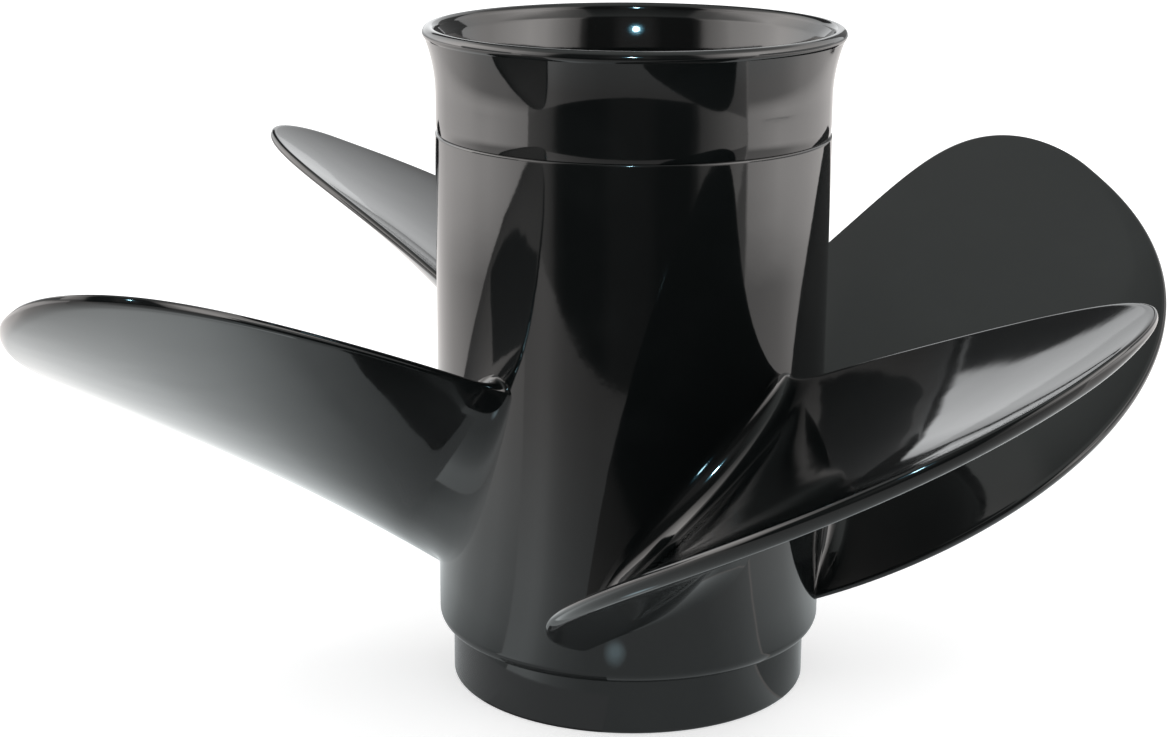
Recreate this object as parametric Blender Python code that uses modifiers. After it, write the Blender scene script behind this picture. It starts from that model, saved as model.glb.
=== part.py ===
"""Four-blade propeller of an outboard motor, with the exhaust led through its hub.

Metres, +Z up. The shaft axis is Z, the flared after end is up, and the propeller stands on the
front face of its collar, whose centre is the origin. Blade angles are measured about Z from -Y
towards +X, so a growing angle follows the blade from its leading to its trailing edge.
"""

import math

import bmesh
import bpy

# Hub, seen from outside
HUB_RADIUS = 0.054
HUB_LENGTH = 0.1845
COLLAR_RADIUS = 0.0501
COLLAR_HEIGHT = 0.0155
COLLAR_WALL = 0.0045
HUB_WALL = 0.0045
EDGE_CHAMFER = 0.0005

# Flared ring that carries on the hub behind its seam
SEAM_HEIGHT = 0.156
SEAM_STEP = 0.0002
RING_WALL = 0.0042
FLARE_START = 0.166
FLARE_ROUND = 0.044
LIP_RADIUS = 0.00175
RIM_RADIUS = 0.0572

# Inside of the hub
INNER_HUB_RADIUS = 0.031
INNER_HUB_BORE = 0.026
INNER_HUB_BOTTOM = 0.012
INNER_HUB_TOP = 0.124
INNER_HUB_CHAMFER = 0.0015
RIB_THICKNESS = 0.007
RIB_BOTTOM = 0.027
RIB_TOP = 0.118
RIB_ANGLES = (45, 135, 225, 315)
SLEEVE_RADIUS = 0.017
SLEEVE_BOTTOM = 0.008
SLEEVE_TOP = 0.120
SPLINE_COUNT = 15
SPLINE_ROOT_RADIUS = 0.0127
SPLINE_TIP_RADIUS = 0.0113
SPLINE_ROOT_SHARES = (0.02, 0.42)
SPLINE_TIP_SHARES = (0.56, 0.88)
BUSHING_BOTTOM = 0.016
BUSHING_TOP = 0.110
BUSHING_CHAMFER = 0.002
CLEARANCE = 0.0003

# Blades: each law is a Bezier curve over the span, given by its control values from root to tip
BLADE_ANGLES = (0, 90, 180, 270)
TIP_RADIUS = 0.176
MIDCHORD_ANGLES = (18.9, 13.2, 27.4, 32.3, 35.4)
HALF_WIDTH_ANGLES = (32.5, 33.3, 31.4, 35.7, 38.2)
MIDCHORD_HEIGHTS = (0.0594, 0.0808, 0.1059, 0.1251, 0.1285)
PITCHES = (0.378, 0.369, 0.395, 0.454)
THICKNESSES = (0.011, 0.004)
LEADING_EDGE_THICKNESSES = (0.0026, 0.0056, 0.0042)
TRAILING_EDGE_THICKNESSES = (0.0018, 0.0028, 0.003)
CAMBER = 0.004
ROOT_FILLET = 0.007

# Fineness of the faceted solids
TURN_STEPS = 72
ARC_STEPS = 6
SPAN_STEPS = 18
CHORD_STEPS = 14
ROOT_ROW_HEIGHTS = (CLEARANCE, 0.001, 0.0024, 0.0045, 0.007)
ROOT_CAP_STRIPS = 4
EDGE_ROW_SHARE = 0.22
SHARP_ANGLE = 40

# Finishes: colour, roughness and metallic value
BLACK = (0.012, 0.014, 0.015)
INNER_BLACK = (0.016, 0.017, 0.018)
HUB_PAINT = (BLACK, 0.12, 0.0)
RING_PAINT = (BLACK, 0.10, 0.0)
BLADE_PAINT = (BLACK, 0.14, 0.0)
INNER_PAINT = (INNER_BLACK, 0.30, 0.0)
RIB_PAINT = (INNER_BLACK, 0.35, 0.0)
RUBBER = ((0.02, 0.02, 0.02), 0.75, 0.0)
BRASS = ((0.62, 0.42, 0.17), 0.30, 1.0)


def clear_scene():
    for old in list(bpy.data.objects):
        bpy.data.objects.remove(old, do_unlink=True)


def make_material(name, finish):
    colour, roughness, metallic = finish
    material = bpy.data.materials.new(name)
    material.use_nodes = True
    shader = material.node_tree.nodes["Principled BSDF"]
    shader.inputs["Base Color"].default_value = (*colour, 1.0)
    shader.inputs["Roughness"].default_value = roughness
    shader.inputs["Metallic"].default_value = metallic
    material.diffuse_color = (*colour, 1.0)
    return material


def add_object(name, data, material, collection):
    obj = bpy.data.objects.new(name, data)
    if not data.materials:
        data.materials.append(material)
    collection.objects.link(obj)
    return obj


def arc(centre_radius, centre_height, radius, start_degrees, end_degrees):
    """Points of an arc in a profile, each a distance from the axis and a height."""
    points = []
    for step in range(ARC_STEPS + 1):
        angle = math.radians(start_degrees + (end_degrees - start_degrees) * step / ARC_STEPS)
        points.append((centre_radius + radius * math.cos(angle), centre_height + radius * math.sin(angle)))
    return points


def add_turned(name, profile, material, collection):
    """Turns a closed profile about Z. It runs down its outer side and back up its inner one."""
    mesh = bpy.data.meshes.new(name)
    count = len(profile)
    mesh.from_pydata([(radius, 0, height) for radius, height in profile],
                     [(index, (index + 1) % count) for index in range(count)], [])
    obj = add_object(name, mesh, material, collection)
    screw = obj.modifiers.new("turn", "SCREW")
    screw.steps = TURN_STEPS
    screw.render_steps = TURN_STEPS
    screw.use_merge_vertices = True
    screw.merge_threshold = 0.00001
    screw.use_smooth_shade = True
    return obj


def add_outer_hub(material, collection):
    """The tube that carries the blades, with the narrower collar that turns in the gearcase."""
    top = SEAM_HEIGHT - CLEARANCE
    shoulder = HUB_RADIUS - COLLAR_RADIUS
    bore = HUB_RADIUS - HUB_WALL
    collar_bore = COLLAR_RADIUS - COLLAR_WALL
    profile = [(HUB_RADIUS - EDGE_CHAMFER, top), (HUB_RADIUS, top - EDGE_CHAMFER)]
    profile += arc(COLLAR_RADIUS, COLLAR_HEIGHT + shoulder, shoulder, 0, -90)
    profile += [(COLLAR_RADIUS, EDGE_CHAMFER), (COLLAR_RADIUS - EDGE_CHAMFER, 0)]
    profile += [(collar_bore, 0), (collar_bore, COLLAR_HEIGHT)]
    profile += [(bore, COLLAR_HEIGHT + 2 * shoulder), (bore, top)]
    return add_turned("outer_hub", profile, material, collection)


def add_diffuser_ring(material, collection):
    """The flared ring at the after end, with a rounded lip that stands a little proud of it."""
    radius = HUB_RADIUS - SEAM_STEP
    bore = radius - RING_WALL
    lip_centre = (RIM_RADIUS - LIP_RADIUS, HUB_LENGTH - LIP_RADIUS)
    lip_foot = -45
    lip = arc(*lip_centre, LIP_RADIUS, 180, 90) + arc(*lip_centre, LIP_RADIUS, 90, lip_foot)[1:]
    flare_end = math.asin((lip[-1][1] - FLARE_START) / FLARE_ROUND)
    outer = arc(radius + FLARE_ROUND, FLARE_START, FLARE_ROUND, 180 - math.degrees(flare_end), 180)
    inner_round = FLARE_ROUND + RING_WALL
    inner_end = math.asin((lip_centre[1] - LIP_RADIUS - FLARE_START) / inner_round)
    inner = arc(bore + inner_round, FLARE_START, inner_round, 180, 180 - math.degrees(inner_end))
    profile = lip + outer + [(radius, SEAM_HEIGHT), (bore, SEAM_HEIGHT)] + inner
    return add_turned("diffuser_ring", profile, material, collection)


def add_inner_hub(material, collection):
    """The tube inside the hub that the bushing is pressed into."""
    edge = INNER_HUB_CHAMFER
    profile = [
        (INNER_HUB_BORE, INNER_HUB_TOP),
        (INNER_HUB_RADIUS - edge, INNER_HUB_TOP),
        (INNER_HUB_RADIUS, INNER_HUB_TOP - edge),
        (INNER_HUB_RADIUS, INNER_HUB_BOTTOM + edge),
        (INNER_HUB_RADIUS - edge, INNER_HUB_BOTTOM),
        (INNER_HUB_BORE, INNER_HUB_BOTTOM),
    ]
    return add_turned("inner_hub", profile, material, collection)


def add_bushing(material, collection):
    """The rubber bushing between the inner hub and the sleeve, which slips if a blade strikes."""
    outer = INNER_HUB_BORE - CLEARANCE
    inner = SLEEVE_RADIUS + CLEARANCE
    edge = BUSHING_CHAMFER
    profile = [
        (inner, BUSHING_TOP),
        (outer - edge, BUSHING_TOP),
        (outer, BUSHING_TOP - edge),
        (outer, BUSHING_BOTTOM + edge),
        (outer - edge, BUSHING_BOTTOM),
        (inner, BUSHING_BOTTOM),
    ]
    return add_turned("rubber_bushing", profile, material, collection)


def circle_points(radius, count):
    turn = 2 * math.pi / count
    return [(radius * math.cos(turn * index), radius * math.sin(turn * index)) for index in range(count)]


def spline_bore_points():
    """The outline of the splined bore: each tooth has a flat root, two flanks and a flat tip."""
    corners = [(share, SPLINE_ROOT_RADIUS) for share in SPLINE_ROOT_SHARES]
    corners += [(share, SPLINE_TIP_RADIUS) for share in SPLINE_TIP_SHARES]
    pitch = 2 * math.pi / SPLINE_COUNT
    points = []
    for tooth in range(SPLINE_COUNT):
        for share, radius in corners:
            angle = (tooth + share) * pitch
            points.append((radius * math.cos(angle), radius * math.sin(angle)))
    return points


def add_sleeve(material, collection):
    """The splined sleeve that slides onto the propeller shaft."""
    curve = bpy.data.curves.new("splined_sleeve", "CURVE")
    curve.dimensions = "2D"
    curve.fill_mode = "BOTH"
    curve.extrude = (SLEEVE_TOP - SLEEVE_BOTTOM) / 2
    for points in (circle_points(SLEEVE_RADIUS, TURN_STEPS // 2), spline_bore_points()):
        outline = curve.splines.new("POLY")
        outline.points.add(len(points) - 1)
        outline.use_cyclic_u = True
        for point, (across, along) in zip(outline.points, points):
            point.co = (across, along, 0, 1)
    obj = add_object("splined_sleeve", curve, material, collection)
    obj.location.z = (SLEEVE_TOP + SLEEVE_BOTTOM) / 2
    return obj


def add_ribs(material, collection):
    """Four flat ribs that join the inner hub to the outer one and leave the exhaust its passages."""
    inner = INNER_HUB_RADIUS + CLEARANCE
    outer = math.sqrt((HUB_RADIUS - HUB_WALL - CLEARANCE) ** 2 - (RIB_THICKNESS / 2) ** 2)
    middle = ((inner + outer) / 2, 0, (RIB_TOP + RIB_BOTTOM) / 2)
    size = (outer - inner, RIB_THICKNESS, RIB_TOP - RIB_BOTTOM)
    mesh = bpy.data.meshes.new("rib")
    shape = bmesh.new()
    bmesh.ops.create_cube(shape, size=1)
    bmesh.ops.scale(shape, vec=size, verts=shape.verts)
    bmesh.ops.translate(shape, vec=middle, verts=shape.verts)
    shape.to_mesh(mesh)
    shape.free()
    for number, angle in enumerate(RIB_ANGLES, start=1):
        rib = add_object(f"rib_{number}", mesh, material, collection)
        rib.rotation_euler.z = math.radians(angle)


def bezier(values, share):
    """The value of a law at a share of the span, from its control values."""
    degree = len(values) - 1
    total = 0.0
    for index, value in enumerate(values):
        total += math.comb(degree, index) * (1 - share) ** (degree - index) * share ** index * value
    return total


def fillet_width(height):
    """How far the root fillet spreads beside the middle of the blade, at a height over the hub."""
    if height >= ROOT_FILLET:
        return 0.0
    return ROOT_FILLET - math.sqrt(ROOT_FILLET ** 2 - (ROOT_FILLET - height) ** 2)


class Section:
    """The blade's section on one cylinder about the shaft, at a share of the way round the tip."""

    def __init__(self, share):
        self.reach = TIP_RADIUS - HUB_RADIUS
        self.out = math.sin(share * math.pi / 2)
        self.narrowing = math.cos(share * math.pi / 2)
        self.radius = HUB_RADIUS + self.reach * self.out
        self.angle = math.radians(bezier(MIDCHORD_ANGLES, share))
        self.height = bezier(MIDCHORD_HEIGHTS, share)
        rise_per_radian = bezier(PITCHES, share) / (2 * math.pi)
        self.slope = math.atan2(rise_per_radian, self.radius)
        half_angle = math.radians(bezier(HALF_WIDTH_ANGLES, share))
        self.full_half = half_angle * self.radius / math.cos(self.slope)
        self.fillet = fillet_width(self.radius - HUB_RADIUS)
        self.thickness = bezier(THICKNESSES, self.out)
        self.leading = bezier(LEADING_EDGE_THICKNESSES, share)
        self.trailing = bezier(TRAILING_EDGE_THICKNESSES, share)

    def edge_distance(self, place):
        """About how far a point is from the blade's outline, measured along the blade."""
        across = self.narrowing * place
        from_root = min(math.hypot(self.out, across), 1.0)
        steepness = math.hypot(self.out / self.reach, across / self.full_half) / from_root
        return (1 - from_root) / steepness

    def half_thickness(self, place):
        edge = (self.leading * (1 - place) + self.trailing * (1 + place)) / 4
        middle = 1 - place ** 2
        body = edge + (self.thickness / 2 - edge) * middle + self.fillet * math.sqrt(middle)
        inwards = min(self.edge_distance(place) / edge, 1.0)
        return body * math.sqrt(inwards * (2 - inwards))

    def point(self, place, side):
        """A point at a place from -1, leading edge, to 1, trailing edge, and a side from -1 to 1."""
        along = place * self.full_half * self.narrowing
        lift = side * self.half_thickness(place) - CAMBER * (1 - place ** 2) * self.narrowing
        angle = self.angle + (along * math.cos(self.slope) - lift * math.sin(self.slope)) / self.radius
        height = self.height + along * math.sin(self.slope) + lift * math.cos(self.slope)
        return (self.radius * math.sin(angle), -self.radius * math.cos(angle), height)


def chord_places():
    """Places across the chord, closer together towards both edges, with one in each rounded edge."""
    places = [math.sin(math.pi / 2 * (2 * step / CHORD_STEPS - 1)) for step in range(CHORD_STEPS + 1)]
    edge_place = 1 - (1 - places[-2]) * EDGE_ROW_SHARE
    return [-1, -edge_place] + places[1:-1] + [edge_place, 1]


def span_shares():
    """Shares of the span, with more rows in the root fillet."""
    reach = TIP_RADIUS - HUB_RADIUS
    shares = [math.asin(height / reach) * 2 / math.pi for height in ROOT_ROW_HEIGHTS]
    step = 1 / SPAN_STEPS
    return shares + [step * index for index in range(2, SPAN_STEPS)]


def blade_mesh():
    """A closed loft through the sections, from a cap on the hub to a single point at the tip."""
    shape = bmesh.new()
    places = chord_places()
    last = len(places) - 1
    rows = []
    for share in span_shares():
        section = Section(share)
        after = [shape.verts.new(section.point(place, 1)) for place in places]
        fore = [shape.verts.new(section.point(place, -1)) for place in places[1:-1]]
        rows.append(after + fore[::-1])
    around = len(rows[0])
    for lower, upper in zip(rows, rows[1:]):
        for index in range(around):
            beside = (index + 1) % around
            shape.faces.new((lower[index], lower[beside], upper[beside], upper[index]))
    tip = shape.verts.new(Section(1.0).point(0, 0))
    for index in range(around):
        shape.faces.new((rows[-1][index], rows[-1][(index + 1) % around], tip))

    root = Section(span_shares()[0])
    columns = [[rows[0][0]]]
    for column in range(1, last):
        strips = [rows[0][column]]
        for strip in range(1, ROOT_CAP_STRIPS):
            strips.append(shape.verts.new(root.point(places[column], 1 - 2 * strip / ROOT_CAP_STRIPS)))
        strips.append(rows[0][around - column])
        columns.append(strips)
    columns.append([rows[0][last]])
    for left, right in zip(columns, columns[1:]):
        for strip in range(ROOT_CAP_STRIPS):
            corners = [left[min(strip, len(left) - 1)], left[min(strip + 1, len(left) - 1)],
                       right[min(strip + 1, len(right) - 1)], right[min(strip, len(right) - 1)]]
            shape.faces.new(list(dict.fromkeys(corners)))
    bmesh.ops.recalc_face_normals(shape, faces=shape.faces)
    mesh = bpy.data.meshes.new("blade")
    shape.to_mesh(mesh)
    shape.free()
    mesh.shade_smooth()
    mesh.set_sharp_from_angle(angle=math.radians(SHARP_ANGLE))
    return mesh


def add_blades(material, collection):
    mesh = blade_mesh()
    for number, angle in enumerate(BLADE_ANGLES, start=1):
        blade = add_object(f"blade_{number}", mesh, material, collection)
        blade.rotation_euler.z = math.radians(angle)


def main():
    clear_scene()
    collection = bpy.data.collections.new("outboard_propeller")
    bpy.context.scene.collection.children.link(collection)
    hub_paint = make_material("hub_paint", HUB_PAINT)
    ring_paint = make_material("ring_paint", RING_PAINT)
    blade_paint = make_material("blade_paint", BLADE_PAINT)
    inner_paint = make_material("inner_paint", INNER_PAINT)
    rib_paint = make_material("rib_paint", RIB_PAINT)
    rubber = make_material("bushing_rubber", RUBBER)
    brass = make_material("sleeve_brass", BRASS)
    add_outer_hub(hub_paint, collection)
    add_diffuser_ring(ring_paint, collection)
    add_blades(blade_paint, collection)
    add_inner_hub(inner_paint, collection)
    add_ribs(rib_paint, collection)
    add_bushing(rubber, collection)
    add_sleeve(brass, collection)


main()
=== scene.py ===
"""The looks of a four-blade outboard propeller, painted gloss black, standing on its front collar.

Metres and degrees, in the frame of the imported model: +Z runs along the shaft to the flared after
end, and the camera looks along +Y. Directions round the shaft are measured from -Y towards +X.
"""

import math

import bmesh
import bpy
from mathutils import Matrix, Vector


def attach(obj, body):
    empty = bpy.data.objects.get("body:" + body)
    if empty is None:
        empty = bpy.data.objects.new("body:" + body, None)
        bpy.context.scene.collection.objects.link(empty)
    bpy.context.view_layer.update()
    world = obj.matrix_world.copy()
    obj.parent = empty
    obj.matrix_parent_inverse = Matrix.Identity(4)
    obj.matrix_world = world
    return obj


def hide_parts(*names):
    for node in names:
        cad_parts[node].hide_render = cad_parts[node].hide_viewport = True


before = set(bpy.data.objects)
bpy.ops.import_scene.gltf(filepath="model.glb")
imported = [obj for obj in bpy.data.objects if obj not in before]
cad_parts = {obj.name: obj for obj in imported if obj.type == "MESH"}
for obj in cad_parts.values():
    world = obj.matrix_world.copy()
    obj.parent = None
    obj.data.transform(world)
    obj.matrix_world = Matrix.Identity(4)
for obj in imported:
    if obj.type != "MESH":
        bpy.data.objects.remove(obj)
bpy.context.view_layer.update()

# Splined sleeve: a brass tube broached with 15 splines, which slides onto the propeller shaft. The
# rubber bushing is bonded to its outside. It is drawn and broached, so its fine marks run along it,
# and the brass has tarnished in patches.
SLEEVE_RADIUS = 0.017
SLEEVE_MIDDLE = 0.0153
SLEEVE_BOTTOM = 0.008
SLEEVE_TOP = 0.120
SLEEVE_EDGE = 0.0005
SPLINE_COUNT = 15
SPLINE_POINTS = 8
SPLINE_ROOT_RADIUS = 0.0127
SPLINE_TIP_RADIUS = 0.0113
SPLINE_TIP_POINTS = (4, 5, 6)
BRASS_COLOUR = (0.62, 0.42, 0.17, 1)
BRASS_DULL_COLOUR = (0.38, 0.24, 0.09, 1)
BRASS_ROUGHNESS = 0.26
TARNISH_COVER = 0.7
TARNISH_ROUGHNESS = 0.2
BRASS_MARK_DEPTH = 0.00004


class Socket:
    """What a node gives out. Arithmetic on it adds Math nodes."""

    def __init__(self, finish, output):
        self.finish = finish
        self.output = output

    def math(self, operation, first, second):
        return self.finish.add("ShaderNodeMath", {"operation": operation}, {0: first, 1: second})

    def __add__(self, other):
        return self.math("ADD", self, other)

    def __radd__(self, other):
        return self.math("ADD", other, self)

    def __mul__(self, other):
        return self.math("MULTIPLY", self, other)


class Finish:
    """One material, built of nodes round its shader."""

    def __init__(self, name):
        self.material = bpy.data.materials.new(name)
        self.material.use_nodes = True
        self.nodes = self.material.node_tree.nodes
        self.shader = self.nodes["Principled BSDF"]
        self.place = self.add("ShaderNodeTexCoord", {}, {}, "Object")

    def add(self, kind, settings, sockets, output=0):
        """Adds a node, with its settings and what goes into its sockets, and gives one output."""
        node = self.nodes.new(kind)
        for name, value in settings.items():
            if name == "stops":
                self.set_stops(node.color_ramp, value)
            else:
                setattr(node, name, value)
        self.feed(node, sockets)
        return Socket(self, node.outputs[output])

    def set_stops(self, ramp, stops):
        while len(ramp.elements) < len(stops):
            ramp.elements.new(0.5)
        for element, (position, colour) in zip(ramp.elements, stops):
            element.position = position
            element.color = colour

    def feed(self, node, sockets):
        """Links or sets a node's sockets."""
        for name, value in sockets.items():
            if isinstance(value, Socket):
                self.material.node_tree.links.new(value.output, node.inputs[name])
            else:
                node.inputs[name].default_value = value

    def noise(self, scale, detail, roughness=0.5, stretch=(1, 1, 1)):
        where = self.add("ShaderNodeMapping", {}, {"Vector": self.place, "Scale": stretch})
        return self.add("ShaderNodeTexNoise", {}, {"Vector": where, "Scale": scale,
                                                   "Detail": detail, "Roughness": roughness})

    def span(self, value, low, high, to_low=0.0, to_high=1.0):
        return self.add("ShaderNodeMapRange", {"clamp": True},
                        {"Value": value, "From Min": low, "From Max": high,
                         "To Min": to_low, "To Max": to_high})

    def blend(self, share, first, second):
        return self.add("ShaderNodeMix", {"data_type": "RGBA"}, {0: share, 6: first, 7: second}, 2)

    def bump(self, height, distance, strength=1.0):
        return self.add("ShaderNodeBump", {},
                        {"Height": height, "Distance": distance, "Strength": strength})


def brass_finish():
    finish = Finish("turned_brass")
    patches = finish.noise(scale=90, detail=6, roughness=0.6)
    tarnish = finish.span(patches, low=0.42, high=0.68)
    drawn_lines = finish.noise(scale=1500, detail=3, roughness=0.6, stretch=(1, 1, 0.03))
    colour = finish.blend(tarnish * TARNISH_COVER, BRASS_COLOUR, BRASS_DULL_COLOUR)
    finish.feed(finish.shader, {
        "Base Color": colour,
        "Metallic": 1.0,
        "Roughness": BRASS_ROUGHNESS + tarnish * TARNISH_ROUGHNESS,
        "Normal": finish.bump(drawn_lines, BRASS_MARK_DEPTH),
    })
    return finish.material


def pick(kind, wanted):
    """In edit mode, selects the vertices, edges or faces that the test wants, and nothing else."""
    mesh = bmesh.from_edit_mesh(bpy.context.object.data)
    bpy.ops.mesh.select_all(action="DESELECT")
    for item in getattr(mesh, kind):
        item.select_set(wanted(item))
    mesh.select_flush_mode()
    bmesh.update_edit_mesh(bpy.context.object.data)


def away_from_axis(point):
    return math.hypot(point.x, point.y)


def finish_piece(name, replaced, material, smooth_degrees):
    """Leaves edit mode and hands the piece over with its name, finish and place in the frame."""
    bpy.ops.object.mode_set(mode="OBJECT")
    piece = bpy.context.object
    piece.name = name
    piece.data.name = name
    bpy.ops.object.transform_apply(location=True, rotation=True, scale=True)
    piece.data.materials.clear()
    piece.data.materials.append(material)
    bpy.ops.object.shade_smooth_by_angle(angle=math.radians(smooth_degrees))
    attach(piece, "root")
    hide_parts(replaced)


bpy.ops.object.select_all(action="DESELECT")
bpy.ops.mesh.primitive_circle_add(vertices=SPLINE_COUNT * SPLINE_POINTS, radius=SLEEVE_RADIUS,
                                  location=(0, 0, SLEEVE_BOTTOM))
bpy.ops.object.mode_set(mode="EDIT")
to_bore = SPLINE_ROOT_RADIUS / SLEEVE_RADIUS
bpy.ops.mesh.extrude_region_move(TRANSFORM_OT_translate={"value": (0, 0, 0)})
bpy.ops.transform.resize(value=(to_bore, to_bore, 1), center_override=(0, 0, SLEEVE_BOTTOM))
tooth_turn = math.tau / SPLINE_COUNT


def is_spline_tip(vertex):
    teeth_round = math.atan2(vertex.co.y, vertex.co.x) % math.tau / tooth_turn
    point_of_tooth = round(teeth_round * SPLINE_POINTS) % SPLINE_POINTS
    return away_from_axis(vertex.co) < SLEEVE_MIDDLE and point_of_tooth in SPLINE_TIP_POINTS


pick("verts", is_spline_tip)
to_tip = SPLINE_TIP_RADIUS / SPLINE_ROOT_RADIUS
bpy.ops.transform.resize(value=(to_tip, to_tip, 1), center_override=(0, 0, SLEEVE_BOTTOM))
bpy.ops.mesh.select_all(action="SELECT")
sleeve_rise = (0, 0, SLEEVE_TOP - SLEEVE_BOTTOM)
bpy.ops.mesh.extrude_region_move(TRANSFORM_OT_translate={"value": sleeve_rise})
bpy.ops.mesh.select_all(action="SELECT")
bpy.ops.mesh.normals_make_consistent(inside=False)
pick("edges", lambda edge: edge.verts[0].co.z == edge.verts[1].co.z
     and all(away_from_axis(vertex.co) > SLEEVE_MIDDLE for vertex in edge.verts))
bpy.ops.mesh.bevel(offset=SLEEVE_EDGE, segments=2)
finish_piece("brass_sleeve", "splined_sleeve", brass_finish(), smooth_degrees=30)

# Rubber bushing: moulded round the sleeve and pressed into the inner hub, where it slips if a blade
# strikes. Its ends are dished a little between two rounded lips, and its rubber is matt and dusty.
# It is drawn as an outline and turned about the axis, as all the round pieces from here on are.
BUSHING_RADIUS = 0.0257
BUSHING_BORE = 0.0173
BUSHING_BOTTOM = 0.016
BUSHING_TOP = 0.110
BUSHING_CHAMFER = 0.002
BUSHING_DISH = 0.0012
# Shares of the end's width and of the dish's depth, from the bore outwards.
BUSHING_LIP = ((0, 0.4), (0.08, 0), (0.16, 0.4), (0.32, 1), (0.55, 1))
# Shares of the chamfer in from the wall, with depths as shares of the dish, then of the chamfer.
BUSHING_SHOULDER = ((1.3, 0.2), (0.8, 0.1))
BUSHING_CORNER = ((0.3, 0.45), (0, 1))
RUBBER_COLOUR = (0.018, 0.018, 0.018, 1)
RUBBER_DUST_COLOUR = (0.055, 0.053, 0.05, 1)
RUBBER_ROUGHNESS = 0.62
RUBBER_DUST_ROUGHNESS = 0.25
RUBBER_SKIN_DEPTH = 0.00006
TURN_STEPS = 192
GUARD_LENGTH = 0.003
GUARD_DISTANCE = 0.0003
TINY = 1e-6


def draw_outline(points):
    """Draws a closed outline: one vertex is pulled out from point to point, and the ends joined."""
    first, last = Vector(points[0]), Vector(points[-1])
    bpy.ops.mesh.primitive_plane_add(size=0.001, location=first)
    bpy.ops.object.transform_apply(location=True, rotation=True, scale=True)
    bpy.ops.object.mode_set(mode="EDIT")
    bpy.ops.mesh.merge(type="CENTER")
    for point, next_point in zip(points, points[1:]):
        step = Vector(next_point) - Vector(point)
        bpy.ops.mesh.extrude_region_move(TRANSFORM_OT_translate={"value": step})
    pick("verts", lambda vertex: min((vertex.co - end).length for end in (first, last)) < TINY)
    bpy.ops.mesh.edge_face_add()


def with_guards(points):
    """Adds a point just inside each end of every long straight run, so that it shades straight."""
    guarded = []
    for start, end in zip(points, points[1:] + points[:1]):
        guarded.append(start)
        run = Vector(end) - Vector(start)
        if run.length > GUARD_LENGTH:
            inwards = run.normalized() * GUARD_DISTANCE
            guarded.append(tuple(Vector(start) + inwards))
            guarded.append(tuple(Vector(end) - inwards))
    return guarded


def turn_outline(points):
    """Turns an outline, given by distances from the axis and heights, once about the Z axis."""
    draw_outline([(radius, 0, height) for radius, height in with_guards(points)])
    bpy.ops.mesh.select_all(action="SELECT")
    bpy.ops.mesh.spin(steps=TURN_STEPS, angle=math.tau, center=(0, 0, 0), axis=(0, 0, 1))
    bpy.ops.mesh.select_all(action="SELECT")
    bpy.ops.mesh.remove_doubles(threshold=TINY)
    bpy.ops.mesh.normals_make_consistent(inside=False)


def arc(centre, radius, start_degrees, end_degrees, steps):
    """Points of an arc in an outline, each a distance from the axis and a height."""
    points = []
    for step in range(steps + 1):
        angle = math.radians(start_degrees + (end_degrees - start_degrees) * step / steps)
        points.append((centre[0] + radius * math.cos(angle), centre[1] + radius * math.sin(angle)))
    return points


def rubber_finish():
    finish = Finish("bushing_rubber")
    dust = finish.span(finish.noise(scale=140, detail=8, roughness=0.65), low=0.45, high=0.75)
    skin = finish.noise(scale=2600, detail=3)
    finish.feed(finish.shader, {
        "Base Color": finish.blend(dust, RUBBER_COLOUR, RUBBER_DUST_COLOUR),
        "Roughness": RUBBER_ROUGHNESS + dust * RUBBER_DUST_ROUGHNESS,
        "Normal": finish.bump(skin, RUBBER_SKIN_DEPTH),
    })
    return finish.material


def bushing_end(height, outwards):
    """One end of the bushing from its bore to its wall: a lip, the dish and the rounded corner."""
    wide = BUSHING_RADIUS - BUSHING_BORE
    points = [(BUSHING_BORE + wide * share, height - outwards * BUSHING_DISH * depth)
              for share, depth in BUSHING_LIP]
    for profile, deep in ((BUSHING_SHOULDER, BUSHING_DISH), (BUSHING_CORNER, BUSHING_CHAMFER)):
        for share, depth in profile:
            radius = BUSHING_RADIUS - BUSHING_CHAMFER * share
            points.append((radius, height - outwards * deep * depth))
    return points


turn_outline(bushing_end(BUSHING_TOP, 1) + bushing_end(BUSHING_BOTTOM, -1)[::-1])
finish_piece("moulded_bushing", "rubber_bushing", rubber_finish(),
             smooth_degrees=40)

# Inner hub: the tube in the middle of the aluminium casting, bored for the bushing. It is painted
# with the rest, but thinly, so the cast skin shows through a satin black.
INNER_HUB_RADIUS = 0.031
INNER_HUB_BORE = 0.026
INNER_HUB_BOTTOM = 0.012
INNER_HUB_TOP = 0.124
INNER_HUB_ROUND = 0.0015
INNER_HUB_CHAMFER = 0.0006
INNER_BLACK = (0.010, 0.0105, 0.011, 1)
INNER_WORN_BLACK = (0.028, 0.029, 0.03, 1)
INNER_WORN_ROUGHNESS = 0.12
INNER_SKIN_DEPTH = 0.00025
INNER_SKIN_STRENGTH = 0.6


def inner_paint_finish():
    finish = Finish("satin_black_paint")
    cast_skin = finish.noise(scale=420, detail=8, roughness=0.6)
    worn = finish.span(finish.noise(scale=55, detail=5), low=0.5, high=0.72)
    roughness = finish.span(cast_skin, low=0.3, high=0.7, to_low=0.24, to_high=0.42)
    finish.feed(finish.shader, {
        "Base Color": finish.blend(worn, INNER_BLACK, INNER_WORN_BLACK),
        "Roughness": roughness + worn * INNER_WORN_ROUGHNESS,
        "Normal": finish.bump(cast_skin, INNER_SKIN_DEPTH, INNER_SKIN_STRENGTH),
    })
    return finish.material


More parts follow.
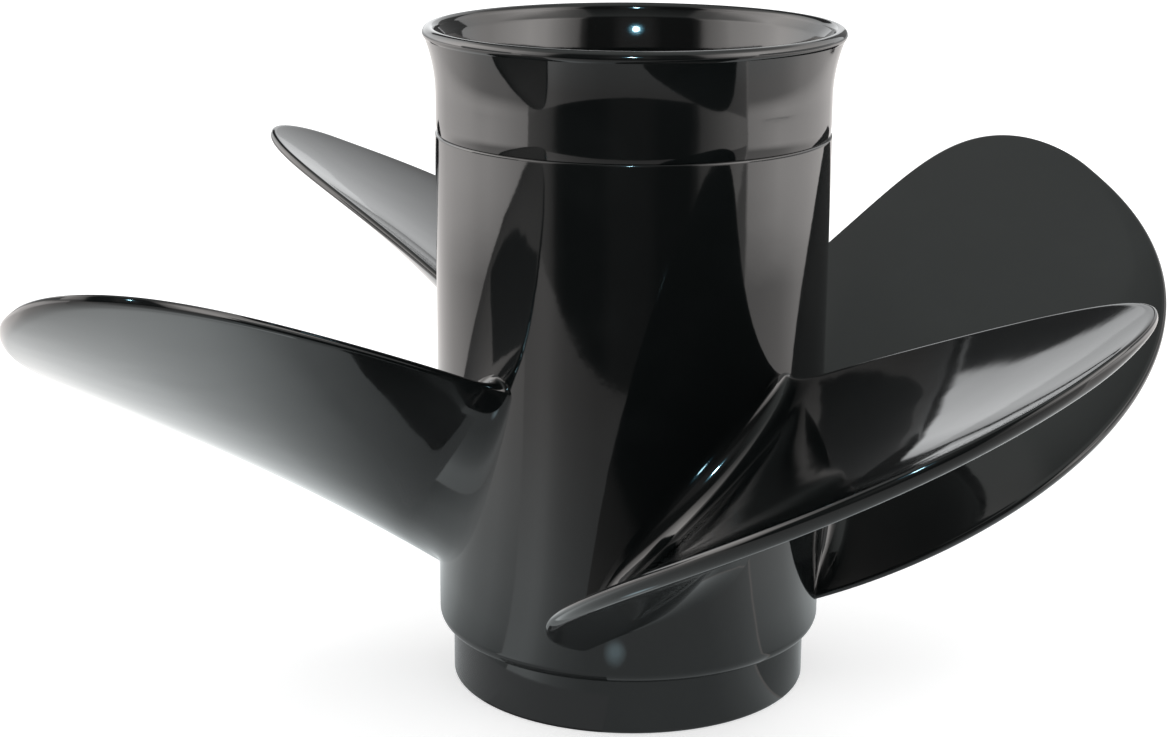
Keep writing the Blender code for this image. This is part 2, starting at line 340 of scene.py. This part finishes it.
inner_paint = inner_paint_finish()
chamfer_radius = INNER_HUB_BORE + INNER_HUB_CHAMFER
round_radius = INNER_HUB_RADIUS - INNER_HUB_ROUND
turn_outline(
    [(INNER_HUB_BORE, INNER_HUB_TOP - INNER_HUB_CHAMFER), (chamfer_radius, INNER_HUB_TOP)]
    + arc((round_radius, INNER_HUB_TOP - INNER_HUB_ROUND), INNER_HUB_ROUND, 90, 0, steps=5)
    + arc((round_radius, INNER_HUB_BOTTOM + INNER_HUB_ROUND), INNER_HUB_ROUND, 0, -90, steps=5)
    + [(chamfer_radius, INNER_HUB_BOTTOM), (INNER_HUB_BORE, INNER_HUB_BOTTOM + INNER_HUB_CHAMFER)]
)
finish_piece("inner_hub_tube", "inner_hub", inner_paint, smooth_degrees=40)

# Ribs: four webs of the casting between the inner and the outer hub, with the exhaust passages
# between them. Each widens into both tubes with a fillet, and its free edges are rounded.
RIB_THICKNESS = 0.007
RIB_BOTTOM = 0.027
RIB_TOP = 0.118
RIB_INNER_END = 0.0295
RIB_OUTER_END = 0.0512
RIB_FILLET = 0.0055
RIB_FILLET_STEPS = 6
RIB_EDGE_ROUND = 0.0022
RIB_ANGLES = (45, 135, 225, 315)
PASSAGE_RADIUS = 0.0495

rib_side = []
for tube_face, inwards, steps in ((INNER_HUB_RADIUS, 1, range(RIB_FILLET_STEPS + 1)),
                                  (PASSAGE_RADIUS, -1, range(RIB_FILLET_STEPS, -1, -1))):
    for step in steps:
        turned = math.pi / 2 * step / RIB_FILLET_STEPS
        rib_side.append((tube_face + inwards * RIB_FILLET * (1 - math.cos(turned)),
                         RIB_THICKNESS / 2 + RIB_FILLET * (1 - math.sin(turned))))
rib_side = [(RIB_INNER_END, rib_side[0][1])] + rib_side + [(RIB_OUTER_END, rib_side[-1][1])]
for number, rib_angle in enumerate(RIB_ANGLES, start=1):
    draw_outline([(x, y, RIB_BOTTOM) for x, y in rib_side]
                 + [(x, -y, RIB_BOTTOM) for x, y in rib_side[::-1]])
    bpy.ops.mesh.select_all(action="SELECT")
    bpy.ops.mesh.edge_face_add()
    bpy.ops.mesh.extrude_region_move(TRANSFORM_OT_translate={"value": (0, 0, RIB_TOP - RIB_BOTTOM)})
    bpy.ops.mesh.select_all(action="SELECT")
    bpy.ops.mesh.normals_make_consistent(inside=False)
    pick("edges", lambda edge: abs(edge.verts[0].co.z - edge.verts[1].co.z) < TINY
         and abs(edge.verts[0].co.x - edge.verts[1].co.x) > TINY)
    bpy.ops.mesh.bevel(offset=RIB_EDGE_ROUND, segments=5)
    bpy.ops.object.mode_set(mode="OBJECT")
    bpy.context.object.data.transform(Matrix.Rotation(math.radians(rib_angle), 4, "Z"))
    finish_piece(f"web_{number}", f"rib_{number}", inner_paint,
                 smooth_degrees=40)

# Outer hub: the tube that carries the blades, cast with them in one piece, with the narrower collar
# that turns in the gearcase. It is sprayed and baked gloss black all over.
HUB_RADIUS = 0.054
HUB_WALL = 0.0045
COLLAR_RADIUS = 0.0501
COLLAR_HEIGHT = 0.0155
COLLAR_WALL = 0.0045
COLLAR_ROUND = 0.0009
SEAM_HEIGHT = 0.156
SEAM_GAP = 0.0001
SEAM_ROUND = 0.0005
GLOSS_BLACK = (0.0034, 0.0042, 0.0043, 1)
GLOSS_BLACK_THIN = (0.0052, 0.0062, 0.0063, 1)
GLOSS_ROUGHNESS = 0.055
GLOSS_THIN_ROUGHNESS = 0.03
GLOSS_DUST_ROUGHNESS = 0.3
GLOSS_WAVE_DEPTH = 0.0006
GLOSS_WAVE_STRENGTH = 0.35
RIPPLE_SHARE = 0.035
ORANGE_PEEL_SHARE = 0.02


def gloss_paint_finish():
    """Baked enamel, nearly mirror smooth, with a trace of orange peel and of casting waves."""
    finish = Finish("gloss_black_enamel")
    waves = finish.noise(scale=26, detail=2)
    orange_peel = finish.noise(scale=420, detail=2)
    thin_paint = finish.span(finish.noise(scale=38, detail=6, roughness=0.6), low=0.48, high=0.74)
    dust = finish.span(finish.noise(scale=3100, detail=1), low=0.78, high=0.82)
    ripple = finish.noise(scale=130, detail=2)
    surface = waves + ripple * RIPPLE_SHARE + orange_peel * ORANGE_PEEL_SHARE
    paint_roughness = GLOSS_ROUGHNESS + thin_paint * GLOSS_THIN_ROUGHNESS
    finish.feed(finish.shader, {
        "Base Color": finish.blend(thin_paint, GLOSS_BLACK, GLOSS_BLACK_THIN),
        "Roughness": paint_roughness + dust * GLOSS_DUST_ROUGHNESS,
        "Normal": finish.bump(surface, GLOSS_WAVE_DEPTH, GLOSS_WAVE_STRENGTH),
    })
    return finish.material


gloss_paint = gloss_paint_finish()
shoulder = HUB_RADIUS - COLLAR_RADIUS
barrel_top = SEAM_HEIGHT - SEAM_GAP
barrel_bore = HUB_RADIUS - HUB_WALL
collar_bore = COLLAR_RADIUS - COLLAR_WALL
turn_outline(
    [(barrel_bore, barrel_top)]
    + arc((HUB_RADIUS - SEAM_ROUND, barrel_top - SEAM_ROUND), SEAM_ROUND, 90, 0, steps=4)
    + arc((COLLAR_RADIUS, COLLAR_HEIGHT + shoulder), shoulder, 0, -90, steps=12)
    + arc((COLLAR_RADIUS - COLLAR_ROUND, COLLAR_ROUND), COLLAR_ROUND, 0, -90, steps=6)
    + arc((collar_bore + COLLAR_ROUND, COLLAR_ROUND), COLLAR_ROUND, -90, -180, steps=6)
    + [(collar_bore, COLLAR_HEIGHT), (barrel_bore, COLLAR_HEIGHT + 2 * shoulder)]
)
finish_piece("hub_barrel", "outer_hub", gloss_paint, smooth_degrees=50)

# Diffuser ring: the flared after end of the hub, above the seam. It curves out to a rounded lip, a
# little proud, which keeps exhaust gas out of the blades, and its foot draws in slightly towards
# the seam. It is painted with the hub.
SEAM_STEP = 0.0002
RING_WALL = 0.0042
FLARE_START = 0.166
FLARE_ROUND = 0.044
FLARE_STEPS = 16
LIP_RADIUS = 0.00175
LIP_STEPS = 20
RIM_RADIUS = 0.0572
HUB_LENGTH = 0.1845
LIP_FOOT = -45
HEM_HEIGHT = 0.0035
HEM_DEPTH = 0.0003
HEM_STEPS = 8

ring_radius = HUB_RADIUS - SEAM_STEP
ring_bore = ring_radius - RING_WALL
lip_centre = (RIM_RADIUS - LIP_RADIUS, HUB_LENGTH - LIP_RADIUS)
lip = arc(lip_centre, LIP_RADIUS, 180, LIP_FOOT, LIP_STEPS)
flare_end = math.degrees(math.asin((lip[-1][1] - FLARE_START) / FLARE_ROUND))
inner_round = FLARE_ROUND + RING_WALL
inner_end = math.degrees(math.asin((lip_centre[1] - LIP_RADIUS - FLARE_START) / inner_round))
flare_centre = (ring_radius + FLARE_ROUND, FLARE_START)
inner_centre = (ring_bore + inner_round, FLARE_START)
hem = []
for step in range(HEM_STEPS + 1):
    share = step / HEM_STEPS
    hem.append((ring_radius - HEM_DEPTH * share ** 2, SEAM_HEIGHT + HEM_HEIGHT * (1 - share)))
turn_outline(
    lip
    + arc(flare_centre, FLARE_ROUND, 180 - flare_end, 180, FLARE_STEPS)
    + hem
    + [(ring_bore, SEAM_HEIGHT)]
    + arc(inner_centre, inner_round, 180, 180 - inner_end, FLARE_STEPS)
)
finish_piece("flared_ring", "diffuser_ring", gloss_paint, smooth_degrees=50)

# Blades: four alike, cast with the hub and painted with it. Each is a cambered plate with a heavy
# rounded leading edge, a thinner, squarer trailing edge and a fillet that runs out into the hub. It
# is lofted point by point, because its sections lie on cylinders, which no operator can follow.
BLADE_ANGLES = (0, 90, 180, 270)
TIP_RADIUS = 0.17594
MIDCHORD_ANGLES = (18.9, 13.2, 27.4, 32.3, 35.4)
HALF_WIDTH_ANGLES = (32.5, 33.3, 31.4, 35.7, 38.2)
MIDCHORD_HEIGHTS = (0.0594, 0.0808, 0.1059, 0.1251, 0.1285)
PITCHES = (0.378, 0.369, 0.395, 0.454)
BLADE_THICKNESSES = (0.011, 0.004)
LEADING_EDGE_THICKNESSES = (0.0018, 0.0056, 0.0042)
TRAILING_EDGE_THICKNESSES = (0.0018, 0.0028, 0.003)
LEADING_EDGE_FULLNESS = 2.0
TRAILING_EDGE_FULLNESS = 3.2
CAMBER = 0.004
ROOT_FILLET = 0.0105
# How fast the fillet thins out from mid chord to the edges, over and under the blade: the power at
# mid chord, and how much less it is at the trailing edge.
FILLET_TAPERS = ((0.75, 0.25), (2.4, 1.4))
EDGE_SWELL = 0.3
EDGE_FLARE = 0.25
ROOT_DEPTH = 0.0004
FILLET_ROWS = 10
SPAN_ROWS = 96
CHORD_COLUMNS = 72

span = TIP_RADIUS - HUB_RADIUS


def bezier(values, share):
    """The value at a share of the span of a law given by its control values, root to tip."""
    degree = len(values) - 1
    return sum(math.comb(degree, index) * (1 - share) ** (degree - index) * share ** index * value
               for index, value in enumerate(values))


def blade_section(radius, share, fillet):
    """Two rows of points, over and under the blade's section on the cylinder of this radius."""
    out = math.sin(share * math.pi / 2)
    narrowing = math.cos(share * math.pi / 2)
    slope = math.atan2(bezier(PITCHES, share) / math.tau, radius)
    full_half = math.radians(bezier(HALF_WIDTH_ANGLES, share)) * radius / math.cos(slope)
    midchord = math.radians(bezier(MIDCHORD_ANGLES, share))
    midchord_height = bezier(MIDCHORD_HEIGHTS, share)
    leading = bezier(LEADING_EDGE_THICKNESSES, share)
    trailing = bezier(TRAILING_EDGE_THICKNESSES, share) + fillet * EDGE_SWELL
    fuller = TRAILING_EDGE_FULLNESS - LEADING_EDGE_FULLNESS
    rows = ([], [])
    for column in range(CHORD_COLUMNS + 1):
        place = math.sin(math.pi * (column / CHORD_COLUMNS - 0.5))
        middle = 1 - place ** 2
        edge = (leading * (1 - place) + trailing * (1 + place)) / 4
        across = narrowing * place
        from_root = min(math.hypot(out, across), 1.0)
        steepness = math.hypot(out / span, across / full_half) / max(from_root, TINY)
        inwards = min((1 - from_root) / max(steepness, TINY) / edge, 1.0)
        fullness = LEADING_EDGE_FULLNESS + fuller * (1 + place) / 2
        rounding = (1 - (1 - inwards) ** fullness) ** (1 / fullness)
        body = edge + (bezier(BLADE_THICKNESSES, out) / 2 - edge) * middle
        along = place * full_half * narrowing + max(place, 0) * fillet * EDGE_FLARE
        for row, side, (taper, less) in zip(rows, (1, -1), FILLET_TAPERS):
            half_thickness = (body + fillet * middle ** (taper - less * place)) * rounding
            lift = side * half_thickness - CAMBER * middle * narrowing
            angle = midchord + (along * math.cos(slope) - lift * math.sin(slope)) / radius
            height = midchord_height + along * math.sin(slope) + lift * math.cos(slope)
            row.append((radius * math.sin(angle), -radius * math.cos(angle), height))
    return rows


def span_share(height):
    """Where on the span a height above the hub lies; sections crowd together towards the tip."""
    return math.asin(height / span) * 2 / math.pi


def blade_rows():
    """The blade's sections from just inside the hub, up the root fillet and out to the tip."""
    rows = [blade_section(HUB_RADIUS - ROOT_DEPTH, 0.0, ROOT_FILLET)]
    for step in range(FILLET_ROWS):
        turned = math.pi / 2 * step / FILLET_ROWS
        height = ROOT_FILLET * (1 - math.cos(turned))
        fillet = ROOT_FILLET * (1 - math.sin(turned))
        rows.append(blade_section(HUB_RADIUS + height, span_share(height), fillet))
    first_share = span_share(ROOT_FILLET)
    for step in range(SPAN_ROWS):
        share = first_share + (1 - first_share) * step / SPAN_ROWS
        radius = HUB_RADIUS + span * math.sin(share * math.pi / 2)
        rows.append(blade_section(radius, share, 0.0))
    return rows


def blade_mesh():
    """A closed skin: a loop of points for each section, a cap in the hub and a point at the tip."""
    shape = bmesh.new()
    loops = []
    for over, under in blade_rows():
        loops.append([shape.verts.new(point) for point in over + under[-2:0:-1]])
    count = len(loops[0])
    for lower, upper in zip(loops, loops[1:]):
        for index in range(count):
            beside = (index + 1) % count
            shape.faces.new((lower[index], lower[beside], upper[beside], upper[index]))
    tip = shape.verts.new(blade_section(TIP_RADIUS, 1.0, 0.0)[0][CHORD_COLUMNS // 2])
    for index in range(count):
        shape.faces.new((loops[-1][index], loops[-1][(index + 1) % count], tip))
    root = loops[0]
    for index in range(CHORD_COLUMNS):
        corners = (root[index], root[index + 1], root[-index - 1], root[-index])
        shape.faces.new(list(dict.fromkeys(corners)))
    bmesh.ops.recalc_face_normals(shape, faces=shape.faces)
    mesh = bpy.data.meshes.new("blade")
    shape.to_mesh(mesh)
    shape.free()
    return mesh


blade_pattern = blade_mesh()
for number, blade_angle in enumerate(BLADE_ANGLES, start=1):
    bpy.ops.object.select_all(action="DESELECT")
    blade = bpy.data.objects.new(f"painted_blade_{number}", blade_pattern.copy())
    bpy.context.scene.collection.objects.link(blade)
    blade.data.transform(Matrix.Rotation(math.radians(blade_angle), 4, "Z"))
    bpy.context.view_layer.objects.active = blade
    blade.select_set(True)
    finish_piece(f"painted_blade_{number}", f"blade_{number}", gloss_paint,
                 smooth_degrees=60)

# Floor and sky: a pale matt floor all round, with a little glow of its own so that it runs into the
# white background as the photograph's does, under an even white sky. The paint mirrors neither.
FLOOR_RADIUS = 8.0
FLOOR_CORNERS = 96
FLOOR_COLOUR = (0.92, 0.92, 0.92, 1)
FLOOR_ROUGHNESS = 0.9
FLOOR_SPECULAR = 0.1
FLOOR_GLOW = 0.55
SKY_COLOUR = (1, 1, 1, 1)
SKY_STRENGTH = 1.0

bpy.ops.mesh.primitive_circle_add(vertices=FLOOR_CORNERS, radius=FLOOR_RADIUS, fill_type="NGON",
                                  location=(0, 0, 0))
floor = bpy.context.object
floor.name = "floor"
floor_finish = Finish("pale_floor")
floor_finish.feed(floor_finish.shader, {
    "Base Color": FLOOR_COLOUR,
    "Roughness": FLOOR_ROUGHNESS,
    "Specular IOR Level": FLOOR_SPECULAR,
    "Emission Color": FLOOR_COLOUR,
    "Emission Strength": FLOOR_GLOW,
})
floor.data.materials.append(floor_finish.material)
floor.visible_glossy = False

world = bpy.data.worlds.new("studio")
bpy.context.scene.world = world
world.use_nodes = True
world.node_tree.nodes["Background"].inputs["Color"].default_value = SKY_COLOUR
world.node_tree.nodes["Background"].inputs["Strength"].default_value = SKY_STRENGTH
world.cycles_visibility.glossy = False

# Table: the lit white table that the paint mirrors, a hair below the floor and unseen by the
# camera. Its glow changes smoothly with direction and with distance, by laws estimated from how
# bright the photograph's reflections are; one card lies in front and one round the sides and back.
TENT_RADIUS = 1.5
TABLE_DEPTH = -0.002
TABLE_INNER = 0.02
TABLE_EDGE = 0.41
TABLE_PEAK = 3.0
FRONT_LEFT = -60
FRONT_RIGHT = 65
FRONT_STEP = 3
SIDE_STEP = 6
NEAR_TINT = (0.94, 1, 1.01, 1)
FAR_TINT = (1.04, 1, 0.98, 1)
TINT_CHANGE = (0.1, 0.4)
SIDE_BY_ANGLE = (
    (-180, 1.1), (-150, 1.25), (-135, 1.4), (-122, 1.5), (-112, 1.6), (-104, 1.6), (-96, 1.45),
    (-86, 1.45), (-75, 1.55), (-66, 1.4), (-60, 1.35), (65, 1.35), (90, 1.35), (106, 1.6),
    (116, 1.45), (130, 1.3), (150, 1.1), (180, 1.1),
)
# Low close to the collar: painted shade of the propeller on the table.
SIDE_BY_DISTANCE = ((0.08, 0.35), (0.1, 0.55), (0.12, 0.72), (0.16, 0.87), (0.25, 1.0))
FAR_BY_ANGLE = (
    (-180, 0), (-150, 0), (-135, 0.15), (-121, 0.7), (-104, 1.4), (-87, 2.05), (-72, 1.6),
    (-60, 1.3), (65, 1.5), (79, 1.85), (89, 2.1), (106, 1.05), (130, 0.4), (150, 0), (180, 0),
)
FAR_BY_DISTANCE = ((0.56, 0), (0.7, 0.68), (0.85, 1))
FRONT_BY_ANGLE = (
    (-60, 1.55), (-49, 1.75), (-45, 1.65), (-41, 1.35), (-36, 1.08), (-29, 0.88), (-18, 0.7),
    (38, 0.7), (53, 0.9), (65, 1.2),
)
# Lower close to the collar: painted shade of the propeller on the table.
FRONT_BY_DISTANCE = ((0.09, 0.82), (0.17, 0.9), (0.4, 0.65))


def finish_glow(finish, brightness, strength=1.0):
    """Ends a material as pure light, with no colour or shine of its own."""
    finish.feed(finish.shader, {
        "Base Color": (0, 0, 0, 1),
        "Roughness": 1.0,
        "Specular IOR Level": 0.0,
        "Emission Color": brightness,
        "Emission Strength": strength,
    })
    return finish.material


def place_axes(finish):
    return [finish.add("ShaderNodeSeparateXYZ", {}, {"Vector": finish.place}, axis)
            for axis in range(3)]


def grey_ramp(finish, share, stops):
    """A brightness that runs from stop to stop, each a share and a brightness."""
    colours = [(position, (value, value, value, 1)) for position, value in stops]
    return finish.add("ShaderNodeValToRGB", {"stops": colours}, {"Fac": share})


def by_direction(finish, axes, stops, peak):
    """A brightness by direction round the propeller, over its peak, as a ramp holds 0 to 1."""
    turn = finish.add("ShaderNodeMath", {"operation": "ARCTAN2"}, {0: axes[0], 1: axes[1] * -1.0})
    return grey_ramp(finish, turn * (1 / math.tau) + 0.5,
                     [(angle / 360 + 0.5, value / peak) for angle, value in stops])


def tinted(finish, brightness, tint):
    return finish.add("ShaderNodeVectorMath", {"operation": "MULTIPLY"}, {0: brightness, 1: tint})


def table_material(name, *laws):
    """The sum of some laws, each a brightness by direction and a share of it by distance."""
    finish = Finish(name)
    axes = place_axes(finish)
    distance = finish.add("ShaderNodeVectorMath", {"operation": "LENGTH"}, {0: finish.place}, 1)
    glow = sum(by_direction(finish, axes, by_angle, TABLE_PEAK)
               * grey_ramp(finish, distance, by_distance) * TABLE_PEAK
               for by_angle, by_distance in laws)
    tint = finish.blend(finish.span(distance, *TINT_CHANGE), NEAR_TINT, FAR_TINT)
    return finish_glow(finish, tinted(finish, glow, tint))


def show_only_in_reflections(thing):
    thing.visible_camera = False
    thing.visible_diffuse = False
    thing.visible_shadow = False


def add_card(name, corners, material, faces=None):
    """A card that shows only in reflections, flat unless its faces are given."""
    mesh = bpy.data.meshes.new(name)
    mesh.from_pydata(corners, [], faces or [tuple(range(len(corners)))])
    card = bpy.data.objects.new(name, mesh)
    bpy.context.scene.collection.objects.link(card)
    mesh.materials.append(material)
    show_only_in_reflections(card)


def around(radius, angle, height):
    """The point in this direction round the propeller."""
    turned = math.radians(angle)
    return radius * math.sin(turned), -radius * math.cos(turned), height


side_corners = [around(TABLE_INNER, angle, TABLE_DEPTH)
                for angle in range(FRONT_RIGHT, 361 + FRONT_LEFT, SIDE_STEP)]
side_corners += [around(TENT_RADIUS, angle, TABLE_DEPTH)
                 for angle in range(360 + FRONT_LEFT, FRONT_RIGHT - 1, -SIDE_STEP)]
add_card("side_table", side_corners,
         table_material("side_table_glow", (SIDE_BY_ANGLE, SIDE_BY_DISTANCE),
                        (FAR_BY_ANGLE, FAR_BY_DISTANCE)))
front_corners = [around(TABLE_INNER, angle, TABLE_DEPTH)
                 for angle in range(FRONT_LEFT, FRONT_RIGHT + 1, FRONT_STEP)]
for angle in (FRONT_RIGHT, FRONT_LEFT):
    front_corners.append((TABLE_EDGE * math.tan(math.radians(angle)), -TABLE_EDGE, TABLE_DEPTH))
add_card("front_table", front_corners,
         table_material("front_table_glow", (FRONT_BY_ANGLE, FRONT_BY_DISTANCE)))

# Collar shade: bands on the table close in front of the collar and to its left, painted shadow
# of the collar on the table. A dark one lies on a dimly lit one whose glow falls towards the
# collar, painted shade, and over both stand fine pale glowing strips, almost upright, painted
# light of the lit table, which show in what mirrors the table at a low angle and vanish in what
# looks down on it.
SHADE_INNER = 0.0508
SHADE_OUTER = 0.0628
SHADE_DEPTH = -0.0015
SHADE_LEFT = -56
SHADE_RIGHT = -8
SHADE_STEP = 6
# The dark band's near-black glow: painted shadow.
SHADE_COLOUR = (0.02, 0.02, 0.02, 1)
NEAR_OUTER = 0.078
NEAR_DEPTH = -0.0017
NEAR_LEFT = -140
NEAR_BY_ANGLE = ((-180, 1), (180, 1))
# The near band's glow, dimmer close to the collar: painted shade.
NEAR_BY_DISTANCE = ((0.055, 0.34), (0.0628, 0.4), (0.07, 0.45), (0.078, 0.5))
STRIP_COUNT = 24
STRIP_HEIGHT = 0.0005
STRIP_LEAN = 0.0002
# The strips' pale glow: painted light of the lit table.
STRIP_COLOUR = (0.6, 0.62, 0.63, 1)


def add_band(inner, outer, left, material):
    """A band round the collar's front; its inner and outer edge are each a radius and a height."""
    corners = []
    for angle in range(left, SHADE_RIGHT + 1, SHADE_STEP):
        corners += [around(radius, angle, height) for radius, height in (inner, outer)]
    faces = [(index, index + 1, index + 3, index + 2) for index in range(0, len(corners) - 2, 2)]
    add_card("collar_shade", corners, material, faces)


add_band((collar_bore, SHADE_DEPTH), (SHADE_OUTER, SHADE_DEPTH), SHADE_LEFT,
         finish_glow(Finish("collar_shade"), SHADE_COLOUR))
add_band((collar_bore, NEAR_DEPTH), (NEAR_OUTER, NEAR_DEPTH), NEAR_LEFT,
         table_material("near_table_glow", (NEAR_BY_ANGLE, NEAR_BY_DISTANCE)))
strip_glow = finish_glow(Finish("shade_strips"), STRIP_COLOUR)
for number in range(STRIP_COUNT):
    radius = SHADE_INNER + (NEAR_OUTER - SHADE_INNER) * number / (STRIP_COUNT - 1)
    add_band((radius, SHADE_DEPTH), (radius + STRIP_LEAN, SHADE_DEPTH + STRIP_HEIGHT), NEAR_LEFT,
             strip_glow)

# Flags: dim grey glowing cards that stand at the sides between the bright walls and the paint.
# They keep dark what one piece mirrors of another: painted shade in those reflections. Each has
# its place across, its start and end along Y, its bottom and top, and its grey.
FLAGS = (
    ("left_flag", -0.3, -0.16, 0.03, 0.127, 0.222, 0.9),
    ("right_flag", 0.3, -0.15, 0.19, 0.127, 0.222, 0.9),
    ("far_right_flag", 0.6, -0.17, 0.5, 0.08, 0.255, 0.9),
    ("back_right_flag", 0.2, 0.25, 0.75, 0.17, 0.42, 0.25),
)

for name, x, start_y, end_y, bottom, top, grey in FLAGS:
    corners = [(x, start_y, bottom), (x, end_y, bottom), (x, end_y, top), (x, start_y, top)]
    add_card(name, corners, finish_glow(Finish(name), (grey, grey, grey, 1)))

# Light tent: the room that the paint mirrors, a sphere with bright walls at the sides, dimmer ones
# behind and dark ones round the camera, under an even roof and with a dark gap above the back
# wall. Its laws by direction and by height angle were estimated as the table's were.
WALL_PEAK = 6.0
WALL_BY_ANGLE = (
    (-180, 1.6), (-165, 1.6), (-150, 1.5), (-135, 2.3), (-120, 3.7), (-105, 5.1), (-90, 4.8),
    (-75, 4.3), (-66, 4.0), (-60, 3.1), (-50, 2.2), (-47, 1.7), (-43, 0.25), (-38, 0.07),
    (-18, 0.08), (-10, 0.25), (8, 0.25), (15, 0.09), (31, 0.08), (35, 0.4), (38, 1.7), (44, 2.5),
    (54, 4.0), (60, 5.0), (72, 5.5), (90, 4.1), (105, 2.9), (120, 2.3), (135, 1.6), (150, 1.35),
    (165, 1.25), (180, 1.2),
)
WALL_BY_HEIGHT = ((0, 0.3), (5, 0.55), (10, 0.95), (14, 1.0), (41, 0.95), (48, 0.5), (60, 0.3))
WALL_TINT = (1.04, 1, 0.975, 1)
BACK_TINT = (0.985, 1, 1.01, 1)
BACK_START = 0.5
BACK_END = 1.2
GAP_BY_ANGLE = ((-180, 1), (-153, 1), (-148, 0), (178, 0), (180, 1))
GAP_BY_HEIGHT = ((22.4, 0), (23.6, 1), (90, 1))
GAP_COLOUR = (0.08, 0.08, 0.08, 1)
ROOF_BY_HEIGHT = ((45, 0.0), (56, 0.35), (66, 0.8), (76, 1.0))
ROOF_COLOUR = (0.72, 0.76, 0.745, 1)


def by_height(finish, rise, stops):
    """A share by height angle above the table."""
    return grey_ramp(finish, rise * (2 / math.pi), [(angle / 90, value) for angle, value in stops])


def wall_material():
    finish = Finish("light_tent")
    axes = place_axes(finish)
    rise = finish.add("ShaderNodeMath", {"operation": "ARCSINE"}, {0: axes[2] * (1 / TENT_RADIUS)})
    walls = (by_direction(finish, axes, WALL_BY_ANGLE, WALL_PEAK)
             * by_height(finish, rise, WALL_BY_HEIGHT) * WALL_PEAK)
    gap = by_direction(finish, axes, GAP_BY_ANGLE, 1) * by_height(finish, rise, GAP_BY_HEIGHT)
    tint = finish.blend(finish.span(axes[1], BACK_START, BACK_END), WALL_TINT, BACK_TINT)
    lit = tinted(finish, finish.blend(gap, walls, GAP_COLOUR), tint)
    roof = by_height(finish, rise, ROOF_BY_HEIGHT)
    return finish_glow(finish, finish.blend(roof, lit, ROOF_COLOUR))


bpy.ops.mesh.primitive_uv_sphere_add(segments=48, ring_count=24, radius=TENT_RADIUS,
                                     location=(0, 0, 0))
tent = bpy.context.object
tent.name = "light_tent"
tent.data.materials.append(wall_material())
show_only_in_reflections(tent)

# Flash: a small, hard light above the camera with a halo just behind it, which gives the bluish
# glints. The glare that it leaves on the table in front of the collar is a glowing disc of its
# own, a painted highlight.
FLASH_PLACE = (-0.015, -0.62, 0.42)
FLASH_RADIUS = 0.022
FLASH_COLOUR = (0.5, 0.85, 1, 1)
FLASH_STRENGTH = 250
HALO_RADIUS = 0.065
HALO_OFFSET = 0.002
HALO_COLOUR = (2.2, 6, 8, 1)
HALO_EDGE_COLOUR = (0.1, 0.12, 0.13, 1)
# Table glare: a painted highlight, seen only in reflections.
GLARE_PLACE = (-0.0117, -0.117, -0.0012)
GLARE_CORE = 0.0033
GLARE_RADIUS = 0.011
GLARE_COLOUR = (1.7, 2.2, 2.4, 1)
GLARE_EDGE_COLOUR = (0.65, 0.7, 0.71, 1)
DISC_CORNERS = 24


def add_disc(name, centre, radius, upwards, material):
    """A round card whose plane holds the X axis and the axis upwards."""
    corners = []
    for step in range(DISC_CORNERS):
        turned = math.tau * step / DISC_CORNERS
        spoke = math.cos(turned) * Vector((1, 0, 0)) + math.sin(turned) * Vector(upwards)
        corners.append(Vector(centre) + radius * spoke)
    add_card(name, corners, material)


def fading_glow(name, centre, core, edge, colour, edge_colour):
    """A glow that fades from one colour to another between two distances from a point."""
    finish = Finish(name)
    distance = finish.add("ShaderNodeVectorMath", {"operation": "DISTANCE"},
                          {0: finish.place, 1: centre}, 1)
    share = finish.span(distance, core, edge)
    return finish_glow(finish, finish.blend(share, colour, edge_colour))


add_disc("table_glare", GLARE_PLACE, GLARE_RADIUS, (0, 1, 0),
         fading_glow("table_glare", GLARE_PLACE, GLARE_CORE, GLARE_RADIUS, GLARE_COLOUR,
                     GLARE_EDGE_COLOUR))
add_disc("flash_halo", Vector(FLASH_PLACE) - Vector((0, HALO_OFFSET, 0)), HALO_RADIUS, (0, 0, 1),
         fading_glow("flash_halo", FLASH_PLACE, FLASH_RADIUS, HALO_RADIUS, HALO_COLOUR,
                     HALO_EDGE_COLOUR))
add_disc("flash", FLASH_PLACE, FLASH_RADIUS, (0, 0, 1),
         finish_glow(Finish("flash"), FLASH_COLOUR, FLASH_STRENGTH))

# Camera: the photograph's view, worked out from the outlines of the hub and the blades in it. Yaw
# turns it right, pitch tips it down and roll turns it anticlockwise, all three in radians.
PHOTO_WIDTH = 1171
FOCAL_PIXELS = 2291.1
SENSOR_WIDTH = 36
NEAREST_SEEN = 0.01
CAMERA_PLACE = (0, -0.6197, 0.2574)
CAMERA_YAW = -0.02047
CAMERA_PITCH = 0.26619
CAMERA_ROLL = 0.00569

forward = Vector((math.sin(CAMERA_YAW) * math.cos(CAMERA_PITCH),
                  math.cos(CAMERA_YAW) * math.cos(CAMERA_PITCH), -math.sin(CAMERA_PITCH)))
level = Vector((math.cos(CAMERA_YAW), -math.sin(CAMERA_YAW), 0))
upward = level.cross(forward)
across = math.cos(CAMERA_ROLL) * level + math.sin(CAMERA_ROLL) * upward
upright = math.cos(CAMERA_ROLL) * upward - math.sin(CAMERA_ROLL) * level
camera_data = bpy.data.cameras.new("camera")
camera_data.sensor_fit = "HORIZONTAL"
camera_data.sensor_width = SENSOR_WIDTH
camera_data.lens = FOCAL_PIXELS / PHOTO_WIDTH * SENSOR_WIDTH
camera_data.clip_start = NEAREST_SEEN
camera = bpy.data.objects.new("camera", camera_data)
bpy.context.scene.collection.objects.link(camera)
turned = Matrix((across, upright, -forward)).transposed().to_4x4()
camera.matrix_world = Matrix.Translation(CAMERA_PLACE) @ turned
bpy.context.scene.camera = camera
bpy.context.scene.view_settings.view_transform = "Standard"
